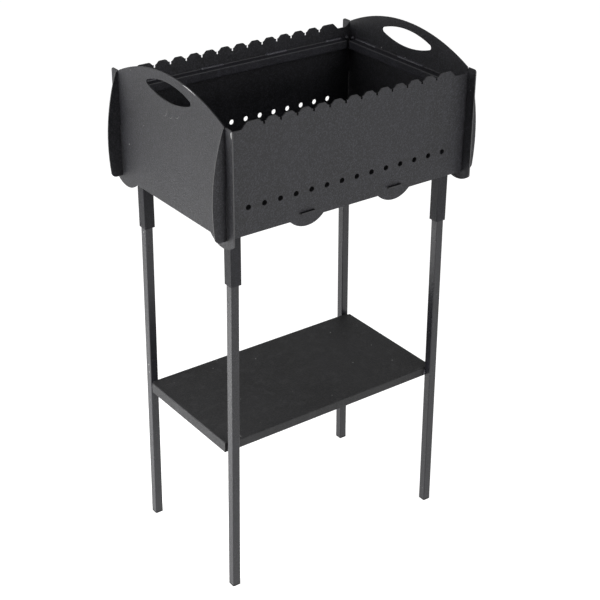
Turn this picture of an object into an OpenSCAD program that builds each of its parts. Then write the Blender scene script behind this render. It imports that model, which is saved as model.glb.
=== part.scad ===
// Slot-together sheet-steel charcoal brazier on a four-leg stand with a shelf.
// Millimetres. The floor is z = 0, x runs along the box, y from front to back.

/* [Sheet] */
// thickness of the wall sheets and the bottom plate
sheet_t = 2; // [1.5:0.5:3]
// gap on each side of a sheet in its cross-lap slot
lap_gap = 0.5; // [0.3:0.1:1]

/* [Box] */
// outside length between the end walls
box_l = 481; // [400:1:700]
// outside depth between the long walls
box_d = 319; // [250:1:450]
// height of the straight bottom edge of the long walls above the floor
box_bottom_z = 689.5; // [500:0.1:900]
// height of the cross-lap, where the slots of both walls meet
lap_z = 778; // [740:1:830]
// depth of the round lobes below the bottom edge
lobe_drop = 14.1; // [5:0.1:30]

/* [Long walls] */
// height of the tooth tops above the bottom edge
tooth_h = 185.1; // [150:0.1:260]
// number of skewer notches
notch_count = 12; // [4:1:20]
// spacing of the notches
notch_pitch = 31; // [25:0.5:33]
// width of the slit at the bottom of a notch
slit_w = 3.4; // [2:0.1:6]
// depth of the slit floor below the tooth tops
slit_depth = 10.3; // [6:0.1:20]
// depth of the funnel floor below the tooth tops
funnel_depth = 5.4; // [3:0.1:9]
// half width of the funnel floor
funnel_half = 3.4; // [2:0.1:5]
// rounding of the tooth corners
tooth_round = 4.7; // [1:0.1:6]
// distance from the box middle to the top of the end slope
slope_x = 201; // [190:0.5:215]
// depth of the low flat beside the corners
flat_depth = 10.8; // [5:0.1:15]
// height of the wall top at the cross-lap below the tooth tops
corner_depth = 3.3; // [0:0.1:5]
// number of air holes
air_count = 14; // [6:1:24]
// spacing of the air holes
air_pitch = 30.1; // [25:0.1:32]
// diameter of an air hole
air_d = 9.4; // [6:0.1:16]
// height of the air holes above the bottom edge
air_h = 46.3; // [30:0.1:80]
// sideways shift of the air hole row
air_shift = -4.9; // [-10:0.1:10]
// half spacing of the lobes and tongue slots
tongue_x = 88.7; // [60:0.1:150]
// radius of a long-wall lobe
tongue_lobe_r = 45; // [30:1:80]
// how far the ears bulge past the end walls
ear_bulge = 24.7; // [10:0.1:40]
// radius of the curved ear edge
ear_r = 385; // [200:5:800]
// height of the widest point of the ears above the bottom edge
ear_mid_h = 56.5; // [40:0.1:120]
// rounding of the lower end of an ear
ear_round = 9.4; // [3:0.1:12]

/* [End walls] */
// how far the bottom edge of the end walls lies below that of the long walls
end_drop = 2.5; // [0:0.1:6]
// height of the arch top above the bottom edge
arch_h = 223.9; // [200:0.1:300]
// radius of the arch
arch_r = 352; // [300:1:500]
// how far the straight ears pass the long walls
end_ear = 18.5; // [10:0.5:40]
// height of the ear tips above the bottom edge
end_ear_h = 187; // [150:0.1:260]
// rounding of the outer corner of the ear tips
end_ear_round = 4.7; // [2:0.1:8]
// distance from the box middle to the middle of an end-wall lobe
end_lobe_y = 146; // [120:0.5:160]
// radius of an end-wall lobe
end_lobe_r = 47; // [30:1:80]
// length of the handle hole
handle_l = 130.6; // [90:0.1:170]
// height of the handle hole at its middle
handle_hole_h = 31.5; // [20:0.1:50]
// height of the handle hole middle above the bottom edge
handle_h = 194.6; // [180:0.1:240]
// rounding of the handle hole ends
handle_round = 4.7; // [2:0.1:10]

/* [Rails] */
// side of the square-tube ledge rails
rail_w = 15; // [10:1:25]
// wall thickness of the rails and legs
tube_wall = 1.2; // [1:0.1:2]
// outside corner rounding of the tubes
tube_round = 1.5; // [0.5:0.1:3]
// height of the rail tops above the bottom edge
rail_top_h = 154.5; // [120:0.1:190]
// gap between the ends of neighbouring rails
rail_gap = 2.5; // [1:0.5:10]

/* [Bottom plate] */
// height of the plate's lower face above the bottom edge
plate_h = 9.3; // [6:0.1:20]
// width of a tongue
tongue_w = 27.2; // [15:0.1:60]
// how far a tongue stands out of the wall
tongue_out = 4.2; // [1:0.1:10]
// gap around a tongue in its slot
tongue_gap = 0.5; // [0.3:0.1:2]

/* [Stand] */
// side of the square-tube legs
leg_w = 15; // [12:1:25]
// distance between leg middles from front to back
leg_d = 265.2; // [180:0.1:380]
// how far the feet stand out past the sockets at each end
leg_splay = 7.5; // [0:0.1:8]
// side of the square-tube sockets
socket_w = 20; // [16:1:32]
// wall thickness of the sockets
socket_wall = 1.5; // [1:0.1:2.5]
// length of a socket
socket_l = 102.3; // [60:0.1:160]
// thickness of the plate that closes a socket's top
socket_cap = 2.4; // [1:0.1:5]
// gap between a socket and the bottom plate, and a leg and the socket cap
seat_gap = 0.4; // [0.3:0.1:1]
// height of the sole of a leg cap
cap_sole = 2.5; // [1.5:0.5:6]
// length of a leg cap's plug inside the leg
cap_plug = 12; // [6:1:25]

/* [Shelf] */
// height of the shelf top above the floor
shelf_z = 292.7; // [150:0.1:500]
// thickness of the shelf sheet
shelf_t = 1.2; // [0.8:0.1:2]
// height of the shelf's turned-down front and back
shelf_side = 15.5; // [10:0.5:40]
// height of the shelf's turned-down ends
shelf_end = 19; // [10:0.5:40]
// outside rounding of the shelf's folds
shelf_fold = 2.5; // [1.5:0.1:5]
// size of the open relief at each shelf corner
shelf_relief = 6; // [1:0.5:10]
// how far the shelf stands out past the legs at each end
shelf_over = 1.5; // [0:0.1:5]

/* [Hidden] */
$fn = 72;
end_x = box_l / 2;
long_y = box_d / 2;
tooth_z = box_bottom_z + tooth_h;
end_bottom_z = box_bottom_z - end_drop;
rail_top_z = box_bottom_z + rail_top_h;
plate_z = box_bottom_z + plate_h;
socket_top_z = plate_z - seat_gap;
socket_mid_z = socket_top_z - socket_l / 2;
socket_x = end_x - sheet_t - rail_w - socket_w / 2;
socket_y = leg_d / 2;
leg_lean = atan(leg_splay / socket_mid_z);
leg_length = socket_top_z - socket_cap - 2 * seat_gap - cap_sole;
end_rail_half = long_y - sheet_t - rail_w - rail_gap;
long_rail_half = end_x - sheet_t - rail_w - rail_gap;
paint = "#3c3c3e";
paint_light = "#4c4c4e";
rubber = "#1c1c1d";

// Repeats its children on both sides of the middle of an outline.
module both_sides() {
    children();
    mirror([1, 0]) children();
}

module rounded_square(side, round) {
    core = side - 2 * round;
    square([side, core], center = true);
    square([core, side], center = true);
    for (sx = [-1, 1], sy = [-1, 1])
        translate([sx * core / 2, sy * core / 2]) circle(round);
}

module tube(side, wall, length) {
    linear_extrude(length) difference() {
        rounded_square(side, tube_round);
        square(side - 2 * wall, center = true);
    }
}

// The sliver that rounds off a tooth corner where a 45 degree slope meets the tooth top.
module tooth_corner(corner_x) {
    reach = tooth_round * tan(22.5);
    foot = reach / sqrt(2);
    difference() {
        polygon([[corner_x - foot, tooth_z - foot],
                 [corner_x, tooth_z + 1],
                 [corner_x + reach, tooth_z + 1],
                 [corner_x + reach, tooth_z]]);
        translate([corner_x + reach, tooth_z - tooth_round]) circle(tooth_round);
    }
}

module skewer_notch() {
    mouth = funnel_half + funnel_depth;
    translate([-slit_w / 2, tooth_z - slit_depth]) square([slit_w, slit_depth + 1]);
    polygon([[-funnel_half, tooth_z - funnel_depth],
             [funnel_half, tooth_z - funnel_depth],
             [mouth, tooth_z],
             [mouth, tooth_z + 1],
             [-mouth, tooth_z + 1],
             [-mouth, tooth_z]]);
    both_sides() tooth_corner(mouth);
}

// The low flat beside a corner, with the slope down to it and the rise to the cross-lap.
module corner_dip() {
    foot_x = slope_x + flat_depth;
    lap_x = end_x - sheet_t;
    rise = flat_depth - corner_depth;
    polygon([[slope_x, tooth_z],
             [foot_x, tooth_z - flat_depth],
             [lap_x - rise, tooth_z - flat_depth],
             [lap_x, tooth_z - corner_depth],
             [end_x + ear_bulge, tooth_z - corner_depth],
             [end_x + ear_bulge, tooth_z + 1],
             [slope_x, tooth_z + 1]]);
    mirror([1, 0]) tooth_corner(-slope_x);
}

// The curved part of a long wall outside the end wall.
module long_ear() {
    ear_edge = end_x + ear_bulge;
    mid_z = box_bottom_z + ear_mid_h;
    end_z = box_bottom_z + ear_round;
    end_edge = ear_edge - ear_r + sqrt(ear_r * ear_r - pow(mid_z - end_z, 2));
    intersection() {
        translate([ear_edge - ear_r, mid_z]) circle(ear_r, $fn = 180);
        translate([end_x - sheet_t, end_z]) square([ear_bulge + 2 * sheet_t, tooth_z - end_z]);
    }
    translate([end_x - sheet_t, box_bottom_z])
        square([end_edge - ear_round - end_x + sheet_t, ear_round]);
    translate([end_edge - ear_round, end_z]) circle(ear_round);
}

module long_wall_outline() {
    first_notch = -(notch_count - 1) * notch_pitch / 2;
    first_hole = air_shift - (air_count - 1) * air_pitch / 2;
    slot_w = tongue_w + 2 * tongue_gap;
    lap_h = 2 * (lap_z - box_bottom_z);
    difference() {
        union() {
            translate([-end_x, box_bottom_z]) square([box_l, tooth_h]);
            both_sides() long_ear();
            for (s = [-1, 1])
                translate([s * tongue_x, box_bottom_z - lobe_drop + tongue_lobe_r]) circle(tongue_lobe_r);
        }
        for (i = [0 : notch_count - 1])
            translate([first_notch + i * notch_pitch, 0]) skewer_notch();
        both_sides() corner_dip();
        for (i = [0 : air_count - 1])
            translate([first_hole + i * air_pitch, box_bottom_z + air_h]) circle(d = air_d);
        for (s = [-1, 1]) {
            translate([s * tongue_x, plate_z + sheet_t / 2])
                square([slot_w, sheet_t + 2 * tongue_gap], center = true);
            translate([s * (end_x - sheet_t / 2), lap_z + seat_gap - lap_h / 2])
                square([sheet_t + 2 * lap_gap, lap_h], center = true);
        }
    }
}

module end_ear_outline() {
    ear_w = end_ear + sheet_t;
    shoulder_h = end_ear_h - end_ear_round;
    translate([long_y - sheet_t, end_bottom_z]) {
        square([ear_w, shoulder_h]);
        square([ear_w - end_ear_round, end_ear_h]);
        translate([ear_w - end_ear_round, shoulder_h]) circle(end_ear_round);
    }
}

// The round lobe below an end wall's corner, rounded into the ear's straight edge.
module end_lobe() {
    lobe_z = end_bottom_z - lobe_drop + end_lobe_r;
    corner_y = long_y + end_ear - end_ear_round;
    off_y = corner_y - end_lobe_y;
    inner_r = end_lobe_r - end_ear_round;
    corner_z = lobe_z - sqrt(inner_r * inner_r - off_y * off_y);
    touch_y = end_lobe_y + off_y * end_lobe_r / inner_r;
    intersection() {
        translate([end_lobe_y, lobe_z]) circle(end_lobe_r);
        translate([0, end_bottom_z - lobe_drop]) square([touch_y, 2 * lobe_drop]);
    }
    translate([corner_y, corner_z]) circle(end_ear_round);
    translate([corner_y, corner_z]) square([end_ear_round, lobe_drop]);
}

// An eye of two arcs with small round ends.
module handle_hole() {
    tip_y = handle_l / 2 - handle_round;
    half_h = handle_hole_h / 2;
    arc_r = (tip_y * tip_y + half_h * half_h - handle_round * handle_round)
        / (2 * (half_h - handle_round));
    touch_y = tip_y * arc_r / (arc_r - handle_round);
    intersection() {
        translate([0, half_h - arc_r]) circle(arc_r, $fn = 180);
        translate([0, arc_r - half_h]) circle(arc_r, $fn = 180);
        square([2 * touch_y, 2 * half_h], center = true);
    }
    for (s = [-1, 1])
        translate([s * tip_y, 0]) circle(handle_round);
}

module end_wall_outline() {
    difference() {
        union() {
            intersection() {
                translate([0, end_bottom_z + arch_h - arch_r]) circle(arch_r, $fn = 180);
                translate([-long_y, end_bottom_z]) square([box_d, arch_h]);
            }
            both_sides() end_ear_outline();
            both_sides() end_lobe();
        }
        for (s = [-1, 1])
            translate([s * (long_y - sheet_t / 2), lap_z + arch_h / 2])
                square([sheet_t + 2 * lap_gap, arch_h], center = true);
        translate([0, end_bottom_z + handle_h]) handle_hole();
    }
}

module long_wall(inner_y) {
    color(paint) translate([0, inner_y, 0]) rotate([90, 0, 0])
        linear_extrude(sheet_t) long_wall_outline();
}

module end_wall(start_x) {
    color(paint_light) translate([start_x, 0, 0]) rotate([90, 0, 90])
        linear_extrude(sheet_t) end_wall_outline();
}

module front_wall() { long_wall(sheet_t - long_y); }
module back_wall() { long_wall(long_y); }
module left_wall() { end_wall(-end_x); }
module right_wall() { end_wall(end_x - sheet_t); }

module long_rail(side) {
    color(paint) translate([-long_rail_half, side * (long_y - sheet_t - rail_w / 2), rail_top_z - rail_w / 2])
        rotate([90, 0, 90]) tube(rail_w, tube_wall, 2 * long_rail_half);
}

module end_rail(side) {
    color(paint) translate([side * (end_x - sheet_t - rail_w / 2), end_rail_half, rail_top_z - rail_w / 2])
        rotate([90, 0, 0]) tube(rail_w, tube_wall, 2 * end_rail_half);
}

module front_rail() { long_rail(-1); }
module back_rail() { long_rail(1); }
module left_rail() { end_rail(-1); }
module right_rail() { end_rail(1); }

// The tube low on an end wall that carries its two sockets.
module cross_bar(side) {
    half = socket_y + socket_w / 2;
    color(paint) translate([side * (end_x - sheet_t - rail_w / 2), half, end_bottom_z + seat_gap + rail_w / 2])
        rotate([90, 0, 0]) tube(rail_w, tube_wall, 2 * half);
}

module left_cross_bar() { cross_bar(-1); }
module right_cross_bar() { cross_bar(1); }

module bottom_plate() {
    half_l = end_x - sheet_t - rail_w - 1;
    inner_y = long_y - sheet_t;
    color(paint) translate([0, 0, plate_z]) linear_extrude(sheet_t) {
        square([2 * half_l, 2 * inner_y], center = true);
        for (s = [-1, 1])
            translate([s * tongue_x, 0]) square([tongue_w, box_d + 2 * tongue_out], center = true);
    }
}

module socket(sx, sy) {
    color(paint) translate([sx * socket_x, sy * socket_y, socket_top_z - socket_l])
        difference() {
            linear_extrude(socket_l) rounded_square(socket_w, tube_round);
            translate([0, 0, -1]) linear_extrude(socket_l - socket_cap + 1)
                square(socket_w - 2 * socket_wall, center = true);
        }
}

module front_left_socket() { socket(-1, -1); }
module front_right_socket() { socket(1, -1); }
module back_left_socket() { socket(-1, 1); }
module back_right_socket() { socket(1, 1); }

// Places its children on a leg's axis, which leans out towards the foot.
module on_leg(sx, sy) {
    translate([sx * (socket_x + leg_splay), sy * socket_y, 0])
        rotate([0, -sx * leg_lean, 0]) children();
}

module leg(sx, sy) {
    color(paint_light) on_leg(sx, sy) translate([0, 0, cap_sole])
        tube(leg_w, tube_wall, leg_length);
}

module front_left_leg() { leg(-1, -1); }
module front_right_leg() { leg(1, -1); }
module back_left_leg() { leg(-1, 1); }
module back_right_leg() { leg(1, 1); }

// A plug in the leg's lower end, with a sole cut level with the floor.
module leg_cap(sx, sy) {
    color(rubber) difference() {
        on_leg(sx, sy) {
            translate([0, 0, -cap_sole]) linear_extrude(2 * cap_sole) rounded_square(leg_w, tube_round);
            linear_extrude(cap_sole + cap_plug) square(leg_w - 2 * tube_wall, center = true);
        }
        translate([sx * (socket_x + leg_splay), sy * socket_y, -leg_w]) cube(2 * leg_w, center = true);
    }
}

module front_left_cap() { leg_cap(-1, -1); }
module front_right_cap() { leg_cap(1, -1); }
module back_left_cap() { leg_cap(-1, 1); }
module back_right_cap() { leg_cap(1, 1); }

// A folded channel: flat top with two sides turned down, seen along its length.
module channel_outline(half, top_z, side, t, fold) {
    module solid(half, top_z, fold) {
        translate([-half, -side]) square([2 * half, side + top_z - fold]);
        translate([-(half - fold), -side]) square([2 * (half - fold), side + top_z]);
        for (s = [-1, 1])
            translate([s * (half - fold), top_z - fold]) circle(fold);
    }
    difference() {
        solid(half, 0, fold);
        translate([0, -1]) solid(half - t, 1 - t, fold - t);
    }
}

module shelf() {
    half_l = socket_x + leg_splay * (1 - shelf_z / socket_mid_z) + leg_w / 2 + shelf_over;
    half_d = socket_y - leg_w / 2;
    color(paint) translate([0, 0, shelf_z]) {
        translate([0, half_d - shelf_relief, 0]) rotate([90, 0, 0])
            linear_extrude(2 * (half_d - shelf_relief))
                channel_outline(half_l, 0, shelf_end, shelf_t, shelf_fold);
        translate([shelf_relief - half_l, 0, 0]) rotate([90, 0, 90])
            linear_extrude(2 * (half_l - shelf_relief))
                channel_outline(half_d, 0, shelf_side, shelf_t, shelf_fold);
    }
}

front_wall();
back_wall();
left_wall();
right_wall();
front_rail();
back_rail();
left_rail();
right_rail();
left_cross_bar();
right_cross_bar();
bottom_plate();
front_left_socket();
front_right_socket();
back_left_socket();
back_right_socket();
front_left_leg();
front_right_leg();
back_left_leg();
back_right_leg();
front_left_cap();
front_right_cap();
back_left_cap();
back_right_cap();
shelf();
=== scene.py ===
import math
import random

import bmesh
import bpy
from mathutils import Matrix, Vector


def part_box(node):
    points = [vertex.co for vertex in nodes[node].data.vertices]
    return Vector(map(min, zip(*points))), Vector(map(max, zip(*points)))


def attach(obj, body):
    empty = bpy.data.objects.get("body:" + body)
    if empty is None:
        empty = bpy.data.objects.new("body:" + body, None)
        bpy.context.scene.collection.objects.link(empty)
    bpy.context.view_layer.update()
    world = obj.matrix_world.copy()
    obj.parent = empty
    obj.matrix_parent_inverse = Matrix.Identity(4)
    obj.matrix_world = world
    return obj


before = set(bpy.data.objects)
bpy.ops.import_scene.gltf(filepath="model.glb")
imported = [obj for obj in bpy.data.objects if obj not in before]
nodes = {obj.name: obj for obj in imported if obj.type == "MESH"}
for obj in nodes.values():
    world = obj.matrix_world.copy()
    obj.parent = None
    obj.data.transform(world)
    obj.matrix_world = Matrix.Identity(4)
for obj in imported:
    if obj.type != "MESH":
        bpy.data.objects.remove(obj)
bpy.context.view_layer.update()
random.seed(7)


# Camera at the photograph's viewing angle, for a square image. Angles are in degrees.
def make_camera():
    place = (-1.3025, -1.7940, 1.6240)
    heading = -36.29
    downward = 27.99
    leaning = 0.42
    data = bpy.data.cameras.new("camera")
    data.sensor_width = 36.0
    data.lens = 84.64
    data.shift_x = 0.0007
    data.shift_y = -0.0009
    data.clip_end = 100.0
    camera = bpy.data.objects.new("camera", data)
    turn = Matrix.Rotation(math.radians(heading), 4, "Z")
    tilt = Matrix.Rotation(math.radians(90.0 - downward), 4, "X")
    roll = Matrix.Rotation(math.radians(leaning), 4, "Z")
    camera.matrix_world = Matrix.Translation(place) @ turn @ tilt @ roll
    bpy.context.scene.collection.objects.link(camera)
    bpy.context.scene.camera = camera


# Small helpers for node materials.
def new_material(name):
    material = bpy.data.materials.new(name)
    material.use_nodes = True
    tree = material.node_tree
    tree.nodes.clear()
    return material, tree


# A new node with constants on its sockets, which are named with an underscore for each space.
def add(tree, kind, **sockets):
    node = tree.nodes.new(kind)
    for name, value in sockets.items():
        node.inputs[name.replace("_", " ")].default_value = value
    return node


def math_node(tree, operation, *values):
    node = tree.nodes.new("ShaderNodeMath")
    node.operation = operation
    for socket, value in zip(node.inputs, values):
        if isinstance(value, (int, float)):
            socket.default_value = value
        else:
            tree.links.new(value, socket)
    return node.outputs[0]


def multiply(tree, a, b):
    return math_node(tree, "MULTIPLY", a, b)


def remap(tree, value, span, to=(0.0, 1.0)):
    node = add(tree, "ShaderNodeMapRange", From_Min=span[0], From_Max=span[1], To_Min=to[0], To_Max=to[1])
    tree.links.new(value, node.inputs["Value"])
    return node.outputs["Result"]


# The Mix node's colour sockets come after those for numbers and vectors.
MIX_COLOR_A = 6
MIX_COLOR_B = 7
MIX_COLOR_RESULT = 2


def mix_color(tree, factor, a, b):
    node = tree.nodes.new("ShaderNodeMix")
    node.data_type = "RGBA"
    tree.links.new(factor, node.inputs["Factor"])
    for socket, value in ((node.inputs[MIX_COLOR_A], a), (node.inputs[MIX_COLOR_B], b)):
        if isinstance(value, tuple):
            socket.default_value = value
        else:
            tree.links.new(value, socket)
    return node.outputs[MIX_COLOR_RESULT]


def grey(value, blue=0.0):
    return (value, value, value * (1 + blue), 1.0)


# Colours of what shows through the paint or lies on it, of the painted highlights on edges, and of the
# painted shade in slits.
RUBBED_AND_HIGHLIGHT = grey(0.07)
CUT_EDGE_HIGHLIGHT = grey(0.10)
SLIT_SHADE = grey(0.001)
DUST = grey(0.30)

# How the paint's tone varies: dark and light clouds, wiped patches and the tips of the grain.
CLOUD_DARK = 0.6
CLOUD_LIGHT = 1.2
WIPED = 2.2
GRAIN_TIP = 5.0

# How far the gloss varies, how strong the painted highlight on the ears' cut edges is, and how much duller
# those of the slits are.
GLOSS_SPREAD = 0.04
EAR_EDGE_HIGHLIGHT = 0.4
SLIT_DULLNESS = 0.5


# Where paint is worn off the edges, in patches, lightened also as a painted highlight along the edges. The
# flat normal is compared with one rounded over the edges.
def edge_wear_and_highlight(tree, rounded, flat, cloud, rub_and_highlight):
    compare = tree.nodes.new("ShaderNodeVectorMath")
    compare.operation = "DOT_PRODUCT"
    tree.links.new(rounded, compare.inputs[0])
    tree.links.new(flat, compare.inputs[1])
    edge = remap(tree, compare.outputs["Value"], span=(0.98, 0.80))
    patchy = remap(tree, cloud, span=(0.42, 0.62), to=(0.3, 1.0))
    return multiply(tree, multiply(tree, edge, patchy), rub_and_highlight)


# A painted highlight on the rounded top edges of a tube, which lie square to none of the axes.
def painted_ridge_highlights(tree, upward, slope, ridge_highlight):
    square = math_node(tree, "MAXIMUM", math_node(tree, "MAXIMUM", slope["X"], slope["Y"]), slope["Z"])
    rounding = remap(tree, square, span=(0.96, 0.80), to=(0.0, ridge_highlight))
    skyward = remap(tree, upward, span=(0.2, 0.4))
    return multiply(tree, rounding, skyward)


# The upright cut edges of a sheet: first those out on its ears, for a painted highlight, then those of its
# slits and holes, for painted shade.
def cut_edges(tree, place, slope, sheet, ear, ear_from):
    blend = 0.004
    spot = tree.nodes.new("ShaderNodeSeparateXYZ")
    tree.links.new(place, spot.inputs[0])
    out_to = math_node(tree, "ABSOLUTE", spot.outputs[ear])
    on_ear = remap(tree, out_to, span=(ear_from, ear_from + blend))
    across = remap(tree, slope[sheet], span=(0.3, 0.6), to=(1.0, 0.0))
    upright = remap(tree, slope["Z"], span=(0.5, 0.8), to=(1.0, 0.0))
    cut = multiply(tree, across, upright)
    ear_edge_highlight = multiply(tree, cut, on_ear)
    slit_shade = math_node(tree, "SUBTRACT", cut, ear_edge_highlight)
    return ear_edge_highlight, slit_shade


# Satin heat-resistant paint: cloudy tone, fine grit, soft rub marks, dust specks, and worn edges that also
# carry a painted highlight.
# On a wall, sheet and ear name the axes across the sheet and out to the ears. The ears' cut edges get a
# painted highlight, and those of the narrow slits are rougher and darkened as painted shade. On a tube, a
# painted highlight lightens the rounded top edges.
def paint(name, tone, rough, shine, grit, rub_and_highlight, ridge_highlight=0.0, blue=0.25, relief=0.6,
          sheet=None, ear=None, ear_from=0.0):
    material, tree = new_material(name)
    link = tree.links.new
    out = tree.nodes.new("ShaderNodeOutputMaterial")
    shader = add(tree, "ShaderNodeBsdfPrincipled", Metallic=0.0, IOR=1.5, Specular_IOR_Level=shine)
    link(shader.outputs[0], out.inputs[0])
    place = tree.nodes.new("ShaderNodeTexCoord").outputs["Object"]
    flat = tree.nodes.new("ShaderNodeNewGeometry").outputs["True Normal"]
    facing = tree.nodes.new("ShaderNodeSeparateXYZ")
    link(flat, facing.inputs[0])
    slope = {axis: math_node(tree, "ABSOLUTE", facing.outputs[axis]) for axis in "XYZ"}
    rounded = add(tree, "ShaderNodeBevel", Radius=0.0005)
    rounded.samples = 6

    clouds = add(tree, "ShaderNodeTexNoise", Scale=9.0, Detail=4.0, Roughness=0.6)
    grains = add(tree, "ShaderNodeTexNoise", Scale=480.0, Detail=2.0, Roughness=0.6)
    specks = add(tree, "ShaderNodeTexVoronoi", Scale=60.0)
    stretch = add(tree, "ShaderNodeMapping", Scale=(60.0, 60.0, 9.0))
    for node in (clouds, grains, specks, stretch):
        link(place, node.inputs["Vector"])
    smudges = add(tree, "ShaderNodeTexNoise", Scale=1.0, Detail=3.0, Roughness=0.55)
    link(stretch.outputs[0], smudges.inputs["Vector"])
    cloud = clouds.outputs["Fac"]
    grain = grains.outputs["Fac"]

    tint = remap(tree, cloud, span=(0.3, 0.7))
    color = mix_color(tree, tint, grey(tone * CLOUD_DARK, blue), grey(tone * CLOUD_LIGHT, blue))
    wiped = remap(tree, smudges.outputs["Fac"], span=(0.52, 0.75), to=(0.0, 0.5))
    color = mix_color(tree, wiped, color, grey(tone * WIPED, blue))
    tooth = remap(tree, grain, span=(0.46, 0.68), to=(0.0, grit))
    color = mix_color(tree, tooth, color, grey(tone * GRAIN_TIP, blue))
    # Worn edges, lightened also as a painted highlight.
    color = mix_color(tree, edge_wear_and_highlight(tree, rounded.outputs[0], flat, cloud, rub_and_highlight), color, RUBBED_AND_HIGHLIGHT)
    gloss = remap(tree, cloud, span=(0.3, 0.7), to=(rough - GLOSS_SPREAD, rough + GLOSS_SPREAD))
    # A painted highlight on the rounded top edges of tubes.
    if ridge_highlight:
        color = mix_color(tree, painted_ridge_highlights(tree, facing.outputs["Z"], slope, ridge_highlight), color, RUBBED_AND_HIGHLIGHT)
    if sheet:
        ear_edge_highlight, slit_shade = cut_edges(tree, place, slope, sheet, ear, ear_from)
        # A painted highlight on the ears' cut edges.
        color = mix_color(tree, multiply(tree, ear_edge_highlight, EAR_EDGE_HIGHLIGHT), color, CUT_EDGE_HIGHLIGHT)
        # Painted shade in the slits and holes.
        color = mix_color(tree, slit_shade, color, SLIT_SHADE)
        gloss = math_node(tree, "ADD", gloss, multiply(tree, slit_shade, SLIT_DULLNESS))
    speck = remap(tree, specks.outputs["Distance"], span=(0.080, 0.050))
    rare = remap(tree, specks.outputs["Color"], span=(0.70, 0.72), to=(0.0, 0.7))
    color = mix_color(tree, multiply(tree, speck, rare), color, DUST)

    bump = add(tree, "ShaderNodeBump", Strength=relief, Distance=0.0010)
    link(grain, bump.inputs["Height"])
    link(rounded.outputs[0], bump.inputs["Normal"])
    link(color, shader.inputs["Base Color"])
    link(gloss, shader.inputs["Roughness"])
    link(bump.outputs[0], shader.inputs["Normal"])
    return material


# Moulded plastic of the leg caps.
def plastic(name, tone):
    scuffed = 1.6
    material, tree = new_material(name)
    link = tree.links.new
    out = tree.nodes.new("ShaderNodeOutputMaterial")
    shader = add(tree, "ShaderNodeBsdfPrincipled", Metallic=0.0, Specular_IOR_Level=0.2)
    link(shader.outputs[0], out.inputs[0])
    place = tree.nodes.new("ShaderNodeTexCoord").outputs["Object"]
    grains = add(tree, "ShaderNodeTexNoise", Scale=900.0, Detail=2.0)
    link(place, grains.inputs["Vector"])
    grain = grains.outputs["Fac"]
    color = mix_color(tree, remap(tree, grain, span=(0.35, 0.7)), grey(tone), grey(tone * scuffed))
    gloss = remap(tree, grain, span=(0.3, 0.7), to=(0.5, 0.7))
    bump = add(tree, "ShaderNodeBump", Strength=0.3, Distance=0.0001)
    link(grain, bump.inputs["Height"])
    link(color, shader.inputs["Base Color"])
    link(gloss, shader.inputs["Roughness"])
    link(bump.outputs[0], shader.inputs["Normal"])
    return material


# Gives solids of the frame their material.
def dress(material, *names):
    for name in names:
        for slot in nodes[name].material_slots:
            slot.material = material


long_paint = paint("long_wall_paint", tone=0.006, rough=0.50, shine=0.33, grit=0.7, rub_and_highlight=0.8,
                   sheet="Y", ear="X", ear_from=0.238)
end_paint = paint("end_wall_paint", tone=0.006, rough=0.50, shine=0.37, grit=0.7, rub_and_highlight=0.8,
                  sheet="X", ear="Y", ear_from=0.157)
tube_paint = paint("tube_paint", tone=0.013, rough=0.50, shine=0.26, grit=0.3, rub_and_highlight=0.0, ridge_highlight=0.6)
weld_paint = paint("weld_paint", tone=0.030, rough=0.42, shine=0.50, grit=0.3, rub_and_highlight=0.0)
plate_paint = paint("plate_paint", tone=0.004, rough=0.80, shine=0.12, grit=0.5, rub_and_highlight=0.8,
                    sheet="Z", ear="Y", ear_from=0.155)
socket_paint = paint("socket_paint", tone=0.007, rough=0.50, shine=0.20, grit=0.3, rub_and_highlight=0.0, ridge_highlight=0.6)
leg_paint = paint("leg_paint", tone=0.007, rough=0.28, shine=0.42, grit=0.4, rub_and_highlight=0.6, relief=0.25)
shelf_paint = paint("shelf_paint", tone=0.015, rough=0.58, shine=0.30, grit=0.2, rub_and_highlight=0.6, blue=0.05)
cap_plastic = plastic("cap_plastic", tone=0.008)

CORNERS = ("front_left", "front_right", "back_left", "back_right")
dress(long_paint, "front_wall", "back_wall")
dress(end_paint, "left_wall", "right_wall")
dress(tube_paint, "front_rail", "back_rail", "left_rail", "right_rail")
dress(tube_paint, "left_cross_bar", "right_cross_bar")
dress(socket_paint, *[corner + "_socket" for corner in CORNERS])
dress(leg_paint, *[corner + "_leg" for corner in CORNERS])
dress(cap_plastic, *[corner + "_cap" for corner in CORNERS])
dress(plate_paint, "bottom_plate")
dress(shelf_paint, "shelf")


# Sizes of the solids that the added details sit on, in metres.
end_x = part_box("right_wall")[1][0]
inner_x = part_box("right_wall")[0][0]
inner_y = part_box("back_wall")[0][1]
rail_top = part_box("back_rail")[1][2]
bar_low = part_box("left_cross_bar")[0][2]
bar_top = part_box("left_cross_bar")[1][2]
socket_low, socket_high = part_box("front_left_socket")
socket_y = -(socket_low[1] + socket_high[1]) / 2
socket_half = (socket_high[0] - socket_low[0]) / 2
bar_x = -socket_low[0]
shelf_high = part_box("shelf")[1]
SHELF_RELIEF = 0.006
leg_low, leg_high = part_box("back_right_leg")
LEG_WIDTH = 0.015

# Sizes of the weld beads, and directions of the faces that they join.
SEAM_SIZE = 0.0015
STITCH_SIZE = 0.0026
CORNER_SIZE = 0.0024
ALONG_X = Vector((1, 0, 0))
ALONG_Y = Vector((0, 1, 0))
ALONG_Z = Vector((0, 0, 1))


# A piece that the scene adds, riding on one body of the frame.
def new_piece(name, form, material, body, smooth=True):
    mesh = bpy.data.meshes.new(name)
    bmesh.ops.recalc_face_normals(form, faces=form.faces)
    for face in form.faces:
        face.smooth = smooth
    form.to_mesh(mesh)
    form.free()
    mesh.materials.append(material)
    piece = bpy.data.objects.new(name, mesh)
    bpy.context.scene.collection.objects.link(piece)
    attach(piece, body)


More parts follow.
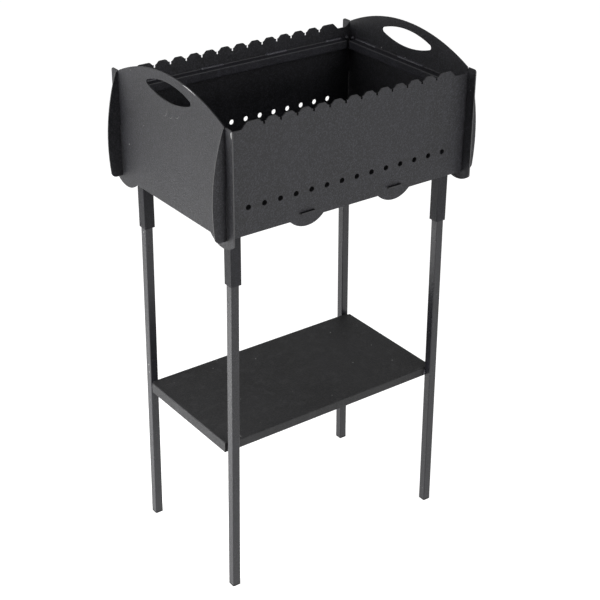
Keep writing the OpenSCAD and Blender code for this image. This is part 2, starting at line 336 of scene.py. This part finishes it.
# A fillet weld in the corner of two faces: a quarter-round bead with rounded ends and, where rough is set,
# ripples and a larger blob where it starts.
def weld_bead(form, start, end, normal_a, normal_b, size, rough=1.0):
    least_steps = 8
    step_length = 0.0008
    ripple_length = 0.00055
    ripple_height = 0.12
    unevenness = 0.09
    full_turn = 6.28
    blob = 0.5
    end_height = 0.15
    root_depth = 0.2
    arc_points = 7
    arc_step = 15
    along = end - start
    steps = max(least_steps, round(along.length / step_length))
    phase = random.uniform(0, full_turn)
    rows = []
    for i in range(steps + 1):
        spot = along.length * i / steps
        end_gap = max(min(spot, along.length - spot), 0) / size
        cap = math.sqrt(1 - (1 - min(end_gap, 1)) ** 2)
        wave = ripple_height * math.cos(spot / ripple_length + phase)
        ripple = 1 + rough * (wave + random.uniform(-unevenness, unevenness))
        swelling = 1 + blob * rough * math.exp(-((spot - size) / size) ** 2)
        reach = size * (end_height + (1 - end_height) * cap) * ripple * swelling
        middle = start + along * (i / steps)
        row = [form.verts.new(middle - root_depth * reach * (normal_a + normal_b))]
        for k in range(arc_points):
            angle = math.radians(arc_step * k)
            outward = math.cos(angle) * normal_a + math.sin(angle) * normal_b
            row.append(form.verts.new(middle + reach * outward))
        rows.append(row)
    for one, two in zip(rows, rows[1:]):
        for k in range(len(one)):
            form.faces.new((one[k], one[k - 1], two[k - 1], two[k]))
    form.faces.new(rows[0])
    form.faces.new(rows[-1])


# Stitch welds that hold one rail to its wall, over a thin seam of paint along the whole rail.
def one_rail_welds(name, body, corner, along, wall, half, runs):
    seam = bmesh.new()
    weld_bead(seam, corner - along * half, corner + along * half, wall, ALONG_Z, SEAM_SIZE, rough=0)
    new_piece(name + "_rail_seam", seam, tube_paint, body)
    form = bmesh.new()
    for low, high in runs:
        weld_bead(form, corner + along * low, corner + along * high, wall, ALONG_Z, STITCH_SIZE)
    new_piece(name + "_rail_welds", form, weld_paint, body)


# The rails' welds, with the runs of each stitch given along its rail.
def rail_welds():
    long_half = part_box("back_rail")[1][0]
    end_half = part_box("right_rail")[1][1]
    long_runs = ((-0.235, -0.228), (-0.205, -0.168), (-0.083, -0.035),
                 (0.052, 0.098), (0.183, 0.219), (0.228, 0.235))
    end_runs = ((-0.150, -0.144), (-0.050, 0.021), (0.079, 0.138), (0.144, 0.150))
    for name, side in (("front", -1), ("back", 1)):
        corner = Vector((0, side * inner_y, rail_top))
        one_rail_welds(name, "trough", corner, ALONG_X, -side * ALONG_Y, long_half, long_runs)
    for name, side in (("left", -1), ("right", 1)):
        corner = Vector((side * inner_x, 0, rail_top))
        one_rail_welds(name, "ends", corner, ALONG_Y, -side * ALONG_X, end_half, end_runs)


# Welds below the box: cross bars to the end walls, and sockets to the cross bars.
def bar_welds():
    bar_runs = ((-0.110, -0.075), (-0.018, 0.018), (0.075, 0.110))
    end_gap = 0.0005
    for name, side in (("left", -1), ("right", 1)):
        form = bmesh.new()
        inward = -side * ALONG_X
        for low, high in bar_runs:
            start = Vector((side * inner_x, low, bar_top))
            end = Vector((side * inner_x, high, bar_top))
            weld_bead(form, start, end, inward, ALONG_Z, STITCH_SIZE)
        for y in (-socket_y, socket_y):
            for face in (-1, 1):
                edge_y = y + face * socket_half
                start = Vector((side * bar_x, edge_y, bar_low + end_gap))
                end = Vector((side * bar_x, edge_y, socket_high[2] - end_gap))
                weld_bead(form, start, end, inward, face * ALONG_Y, CORNER_SIZE)
        new_piece(name + "_bar_welds", form, weld_paint, "ends")


# Welds of the shelf's front and back flanges: to the inner side of each leg, and at the flange's end.
def shelf_welds():
    form = bmesh.new()
    low_drop = 0.0145
    top_drop = 0.003
    heights = (shelf_high[2] - low_drop, shelf_high[2] - top_drop)
    lean = (leg_high[0] - leg_low[0] - LEG_WIDTH) / (leg_high[2] - leg_low[2])
    for side_x in (-1, 1):
        for side_y in (-1, 1):
            flange_y = side_y * shelf_high[1]
            on_leg = []
            at_end = []
            for z in heights:
                leg_x = leg_high[0] - LEG_WIDTH - lean * (z - leg_low[2])
                on_leg.append(Vector((side_x * leg_x, flange_y, z)))
                at_end.append(Vector((side_x * (shelf_high[0] - SHELF_RELIEF), flange_y, z)))
            weld_bead(form, *on_leg, -side_x * ALONG_X, side_y * ALONG_Y, CORNER_SIZE)
            weld_bead(form, *at_end, side_x * ALONG_X, -side_y * ALONG_Y, CORNER_SIZE)
    new_piece("shelf_welds", form, weld_paint, "stand")


# Tabs of the shelf's end flanges, turned in behind the front and back flanges at the corners.
def shelf_tabs():
    form = bmesh.new()
    thick = 0.0012
    length = 0.020
    height = 0.0174
    end_gap = 0.0004
    drop = 0.0100
    size = Matrix.Diagonal((length, thick, height, 1))
    for side_x in (-1, 1):
        for side_y in (-1, 1):
            x = side_x * (shelf_high[0] - length / 2 - end_gap)
            y = side_y * (shelf_high[1] - SHELF_RELIEF - thick / 2)
            place = Matrix.Translation((x, y, shelf_high[2] - drop))
            bmesh.ops.create_cube(form, size=1, matrix=place @ size)
    new_piece("shelf_corner_tabs", form, shelf_paint, "stand", smooth=False)


# A thin strip with narrow tips on the left wall's outer face: its width, and points given as y and z.
def thin_strip(form, width, points):
    tip = 0.3
    lift = 0.00004
    x = -end_x - lift
    last = len(points) - 1
    rows = []
    for i, (y, z) in enumerate(points):
        before = Vector(points[max(i - 1, 0)])
        after = Vector(points[min(i + 1, last)])
        side = (after - before).normalized().orthogonal() * width / 2
        if i in (0, last):
            side *= tip
        one = form.verts.new((x, y + side.x, z + side.y))
        two = form.verts.new((x, y - side.x, z - side.y))
        rows.append((one, two))
    for one, two in zip(rows, rows[1:]):
        form.faces.new((one[0], one[1], two[1], two[0]))


# Marks on the left wall: scratches where the paint is thin over bare metal, and worn strips on the ear tip
# and the arch's top edge that are lightened as a painted highlight.
def wall_marks():
    bare = paint("bare_paint", tone=0.10, rough=0.45, shine=0.5, grit=0.05, rub_and_highlight=0.0, blue=0.0)
    form = bmesh.new()
    thin_strip(form, 0.0007, [(0.0175, 0.839), (0.012, 0.8395), (0.0078, 0.8432),
                         (0.0059, 0.8484), (0.0043, 0.8560)])
    thin_strip(form, 0.0008, [(0.0010, 0.8412), (-0.0045, 0.8403), (-0.0088, 0.8430), (-0.0103, 0.8468)])
    thin_strip(form, 0.0009, [(-0.0200, 0.8460), (-0.0244, 0.8466), (-0.0281, 0.8494), (-0.0300, 0.8520)])
    new_piece("left_wall_scratches", form, bare, "ends")
    # Worn paint on the ear tip and along the arch's top edge, made light as a painted highlight.
    worn_and_highlight = paint("worn_paint_and_highlight", tone=0.24, rough=0.45, shine=0.5, grit=0.05, rub_and_highlight=0.0, blue=0.0)
    form = bmesh.new()
    thin_strip(form, 0.0040, [(-0.1765, 0.8722), (-0.1752, 0.8690), (-0.1758, 0.8655), (-0.1768, 0.8615)])
    thin_strip(form, 0.0018, [(-0.0450, 0.9068), (-0.0560, 0.9054), (-0.0670, 0.9034), (-0.0800, 0.9005)])
    new_piece("left_wall_worn_and_highlit_edges", form, worn_and_highlight, "ends")


rail_welds()
bar_welds()
shelf_welds()
shelf_tabs()
wall_marks()


# Pale floor that shows white to the camera and keeps a soft shadow.
def make_floor():
    half = 20.0
    outline = [(-half, -half, 0), (half, -half, 0), (half, half, 0), (-half, half, 0)]
    mesh = bpy.data.meshes.new("floor")
    mesh.from_pydata(outline, [], [(0, 1, 2, 3)])
    floor = bpy.data.objects.new("floor", mesh)
    bpy.context.scene.collection.objects.link(floor)
    material, tree = new_material("floor")
    link = tree.links.new
    out = tree.nodes.new("ShaderNodeOutputMaterial")
    pale = add(tree, "ShaderNodeBsdfDiffuse", Color=grey(0.85))
    seen_shade = add(tree, "ShaderNodeBsdfDiffuse", Color=grey(0.40))
    seen_glow = add(tree, "ShaderNodeEmission", Color=grey(1.0), Strength=0.84)
    seen = tree.nodes.new("ShaderNodeAddShader")
    link(seen_shade.outputs[0], seen.inputs[0])
    link(seen_glow.outputs[0], seen.inputs[1])
    rays = tree.nodes.new("ShaderNodeLightPath")
    either = math_node(tree, "MAXIMUM", rays.outputs["Is Camera Ray"], rays.outputs["Is Glossy Ray"])
    either = math_node(tree, "MAXIMUM", either, rays.outputs["Is Transmission Ray"])
    pick = tree.nodes.new("ShaderNodeMixShader")
    link(either, pick.inputs[0])
    link(pale.outputs[0], pick.inputs[1])
    link(seen.outputs[0], pick.inputs[2])
    link(pick.outputs[0], out.inputs[0])
    mesh.materials.append(material)


# Light from all around: brighter near the horizon, dimmer overhead.
def make_world(horizon, overhead):
    world = bpy.data.worlds.new("world")
    bpy.context.scene.world = world
    world.use_nodes = True
    tree = world.node_tree
    tree.nodes.clear()
    link = tree.links.new
    out = tree.nodes.new("ShaderNodeOutputWorld")
    split = tree.nodes.new("ShaderNodeSeparateXYZ")
    link(tree.nodes.new("ShaderNodeTexCoord").outputs["Generated"], split.inputs[0])
    strength = remap(tree, split.outputs["Z"], span=(0.10, 0.30), to=(horizon, overhead))
    back = add(tree, "ShaderNodeBackground", Color=grey(1.0))
    link(strength, back.inputs["Strength"])
    link(back.outputs[0], out.inputs[0])


# A square lamp that faces its target, with power in watts.
def make_lamp(name, place, target, size, power):
    data = bpy.data.lights.new(name, "AREA")
    data.shape = "SQUARE"
    data.size = size
    data.energy = power
    lamp = bpy.data.objects.new(name, data)
    lamp.location = place
    lamp.rotation_euler = (Vector(target) - Vector(place)).to_track_quat("-Z", "Y").to_euler()
    bpy.context.scene.collection.objects.link(lamp)


LAMP_TARGET = (0, 0, 0.7)
make_camera()
make_floor()
make_world(horizon=0.6, overhead=0.37)
make_lamp("key", (0.4, -2.7, 1.2), LAMP_TARGET, size=0.9, power=36.0)
make_lamp("high", (0.9, -2.1, 2.4), LAMP_TARGET, size=1.4, power=18.0)
make_lamp("side", (-2.7, 0.55, 1.25), LAMP_TARGET, size=1.5, power=62.0)
make_lamp("pool", (-1.2, 0.3, 0.5), (-1.2, 0.3, 0), size=1.0, power=36.0)

bpy.context.scene.view_settings.view_transform = "Standard"
